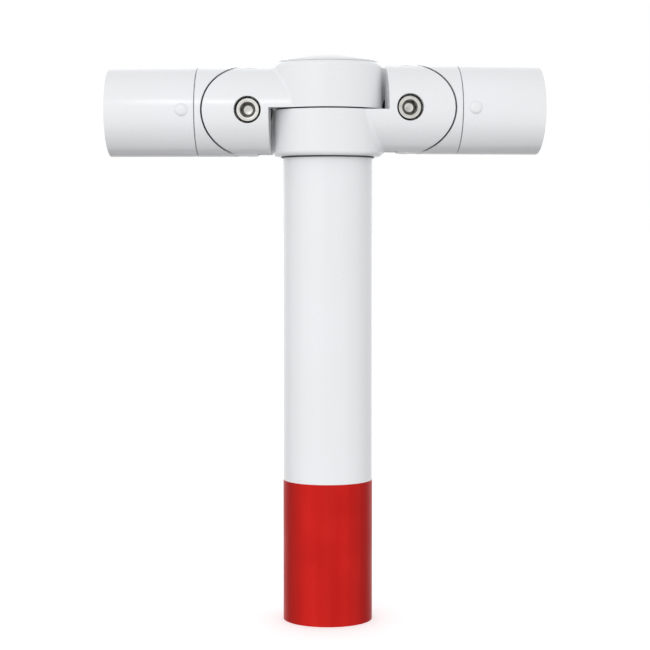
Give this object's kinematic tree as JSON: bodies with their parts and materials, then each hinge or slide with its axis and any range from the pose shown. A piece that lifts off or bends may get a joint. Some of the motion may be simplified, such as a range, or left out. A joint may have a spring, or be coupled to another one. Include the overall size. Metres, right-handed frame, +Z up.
{
  "type": "barrier post rail junction",
  "caption": "Head of a tubular barrier post with two stacked swivel rings, each carrying a forked arm whose rail swings round the post and tilts on a cross screw.",
  "frame": {"origin": "centre of the post tube's lower end, where the post goes on to its base", "axes": "+Z up the post, -Y to the front where the screw heads and rivets show, +X to the right-hand rail"},
  "size_m": [0.2959, 0.0833, 0.386],
  "materials": {
    "white_powder_coat": "satin powder coat",
    "white_casting": "satin powder coat on cast metal",
    "rivet_coat": "satin paint",
    "white_cap": "satin",
    "red_film": "gloss",
    "nylon": "matt",
    "screw_steel": "machined",
    "zinc_steel": "zinc plated",
    "bush_bronze": "machined"
  },
  "bodies": {
    "post": {"post_tube": "white_powder_coat", "red_film_band": "red_film", "ring_slide_washer": "nylon", "post_cap": "white_cap"},
    "left_swivel": {"upper_swivel_casting": "white_casting", "upper_ring_bush": "nylon", "upper_set_screw": "zinc_steel", "left_pivot_screw": "screw_steel", "left_pivot_nut": "zinc_steel", "left_friction_washers": "nylon"},
    "left_rail": {"left_pivot_bush": "bush_bronze", "left_tube_insert": "white_casting", "left_rail_tube": "white_powder_coat", "left_rail_rivet": "rivet_coat"},
    "right_swivel": {"lower_swivel_casting": "white_casting", "lower_ring_bush": "nylon", "lower_set_screw": "zinc_steel", "right_pivot_screw": "screw_steel", "right_pivot_nut": "zinc_steel", "right_friction_washers": "nylon"},
    "right_rail": {"right_pivot_bush": "bush_bronze", "right_tube_insert": "white_casting", "right_rail_tube": "white_powder_coat", "right_rail_rivet": "rivet_coat"}
  },
  "joints": [
    {"name": "left_swing", "type": "hinge", "parent": "post", "child": "left_swivel", "pos_m": [0, 0, 0.347], "axis": [0, 0, 1], "range_deg": [-40, 45]},
    {"name": "left_tilt", "type": "hinge", "parent": "left_swivel", "child": "left_rail", "pos_m": [-0.05193, 0.00272, 0.34605], "axis": [0.0523, 0.9986, 0], "range_deg": [-15, 15]},
    {"name": "right_swing", "type": "hinge", "parent": "post", "child": "right_swivel", "pos_m": [0, 0, 0.347], "axis": [0, 0, 1], "range_deg": [-45, 40]},
    {"name": "right_tilt", "type": "hinge", "parent": "right_swivel", "child": "right_rail", "pos_m": [0.05167, 0.00589, 0.34795], "axis": [0.1132, -0.9936, 0], "range_deg": [-15, 15]}
  ]
}
